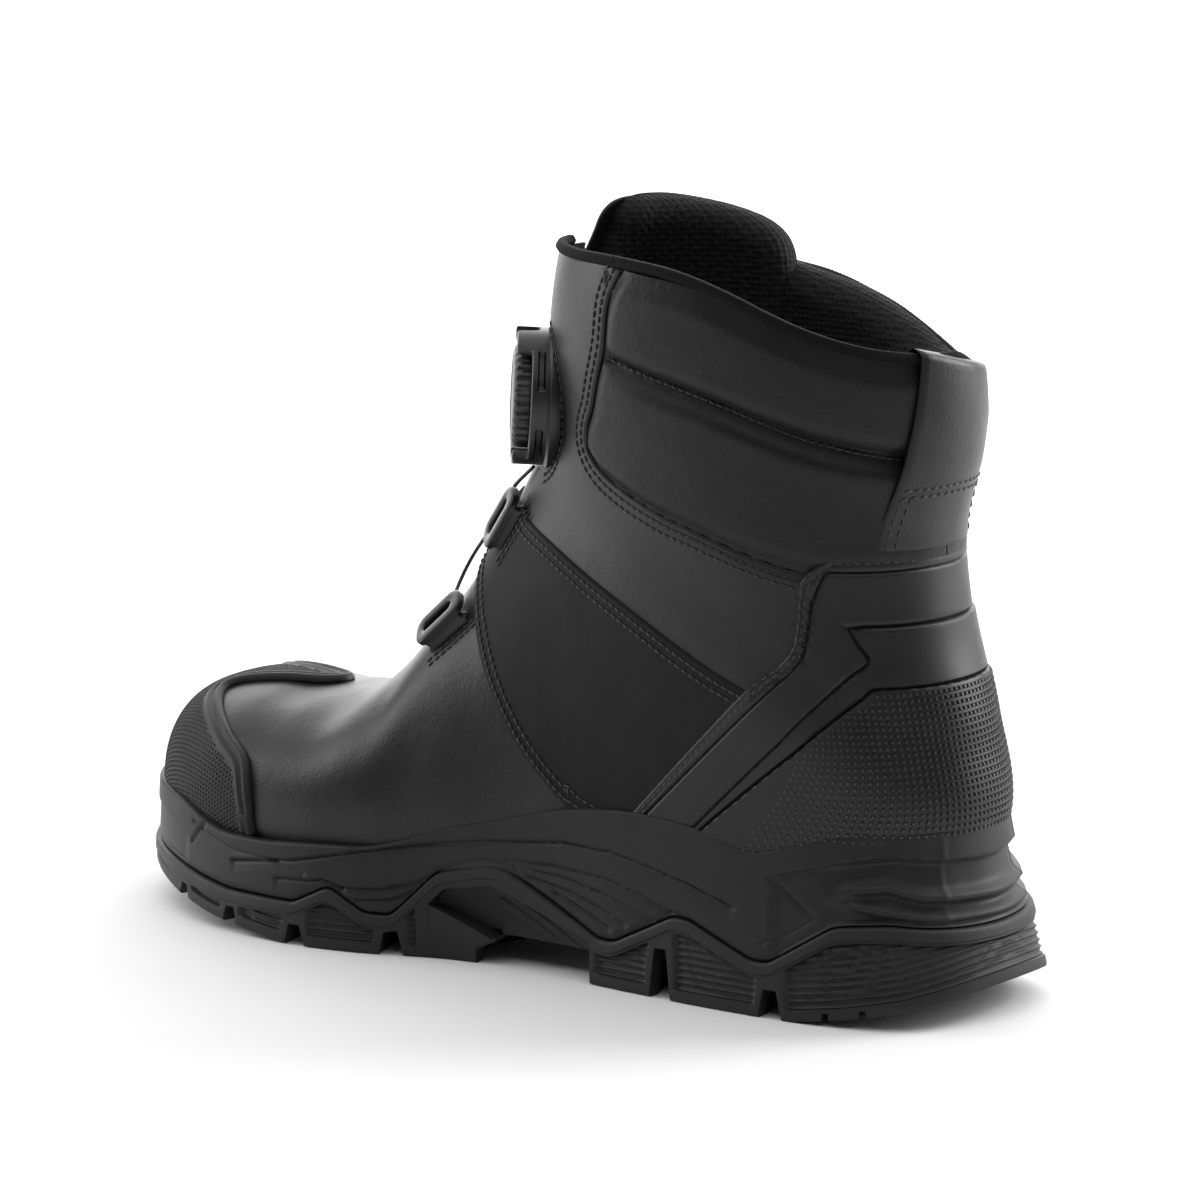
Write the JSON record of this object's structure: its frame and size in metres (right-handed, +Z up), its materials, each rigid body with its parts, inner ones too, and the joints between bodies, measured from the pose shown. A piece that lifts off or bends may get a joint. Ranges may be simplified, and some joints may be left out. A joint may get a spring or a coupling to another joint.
{
  "type": "safety work boot",
  "caption": "High safety work boot with lugged outsole, moulded heel support, toe bumper over a steel cap, padded collar and tongue, and a turning wire-lacing dial.",
  "frame": {"origin": "centre of the boot's ground outline (bounding box), on the ground the tread stands on", "axes": "+X towards the toe, +Y towards the wearer's left (the outer side of this left boot), +Z up"},
  "size_m": [0.31, 0.1092, 0.228],
  "materials": {
    "outsole_rubber": "matt moulded rubber",
    "midsole_foam": "satin moulded polyurethane",
    "shank_plastic": "matt moulded",
    "insole_board": "pressed fibre board",
    "footbed_foam": "fabric on foam",
    "toe_cap_steel": "pressed steel, hidden",
    "smooth_leather": "satin grain",
    "matt_leather": "matt nubuck",
    "lining_mesh": "spacer mesh",
    "binding_knit": "knitted tape",
    "bumper_rubber": "fine moulded grid",
    "heel_tpu": "satin moulded, dotted cup",
    "dial_plastic": "semi-gloss",
    "guide_plastic": "semi-matt",
    "coated_wire": "nylon-coated stainless wire"
  },
  "bodies": {
    "boot": {"outsole": "outsole_rubber", "midsole": "midsole_foam", "arch_shank": "shank_plastic", "insole_board": "insole_board", "footbed": "footbed_foam", "steel_toe_cap": "toe_cap_steel", "heel_counter": "insole_board", "vamp": "smooth_leather", "vamp_lining": "lining_mesh", "quarter_left": "matt_leather", "quarter_right": "matt_leather", "ankle_panel_left": "smooth_leather", "ankle_panel_right": "smooth_leather", "collar_panel_left": "matt_leather", "collar_panel_right": "matt_leather", "collar_pad_left": "lining_mesh", "collar_pad_right": "lining_mesh", "quarter_lining_left": "lining_mesh", "quarter_lining_right": "lining_mesh", "collar_binding": "binding_knit", "toe_bumper": "bumper_rubber", "heel_support": "heel_tpu", "pull_tab": "smooth_leather", "tongue_shell": "smooth_leather", "tongue_pad": "lining_mesh", "dial_guard": "dial_plastic", "dial_base": "dial_plastic", "wire_guide_upper_left": "guide_plastic", "wire_guide_lower_left": "guide_plastic", "wire_guide_top_right": "guide_plastic", "wire_guide_upper_right": "guide_plastic", "wire_guide_lower_right": "guide_plastic", "lace_wire": "coated_wire"},
    "spool": {"dial_spool": "dial_plastic"},
    "knob": {"dial_knob": "dial_plastic"}
  },
  "joints": [
    {"name": "dial_turn", "type": "hinge", "parent": "boot", "child": "spool", "pos_m": [0.00122, 0.01214, 0.16687], "axis": [0.7841, 0.6186, 0.05], "continuous": true},
    {"name": "dial_pull", "type": "slide", "parent": "spool", "child": "knob", "axis": [0.7841, 0.6186, 0.05], "range_m": [0, 0.0025]}
  ]
}
